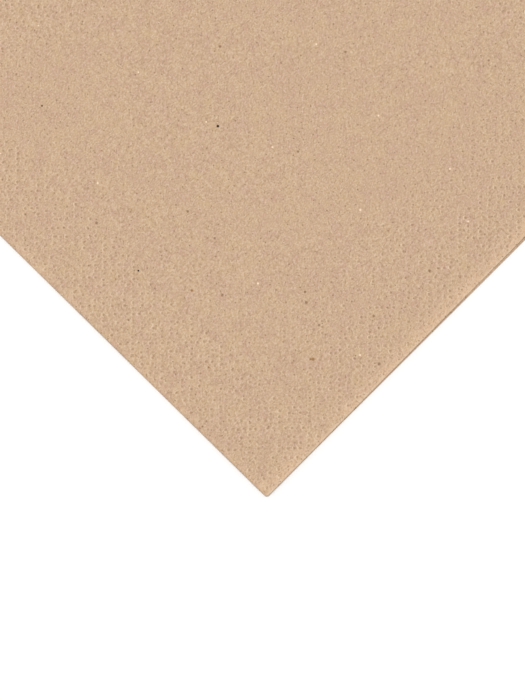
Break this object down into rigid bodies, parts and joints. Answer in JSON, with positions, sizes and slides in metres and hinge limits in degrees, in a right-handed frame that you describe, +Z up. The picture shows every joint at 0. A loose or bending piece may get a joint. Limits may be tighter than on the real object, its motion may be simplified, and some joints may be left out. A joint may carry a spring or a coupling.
{
  "type": "paper napkin",
  "caption": "Brown kraft tissue napkin with a dot-embossed border, folded into a flat quarter-size square; a disposable for wiping hands and mouth or laying under a cup.",
  "frame": {"origin": "on the surface that the napkin lies on, under the middle of the folded square", "axes": "+Z up through the leaves; the first fold runs along X at low Y and the second fold along Y at low X, so the closed corner is at low X and low Y"},
  "size_m": [0.1658, 0.1664, 0.0015],
  "materials": {
    "kraft_tissue": "matt unbleached recycled tissue with fine fibre specks and an embossed border of dots"
  },
  "bodies": {
    "root": {"napkin": "kraft_tissue"}
  },
  "joints": []
}
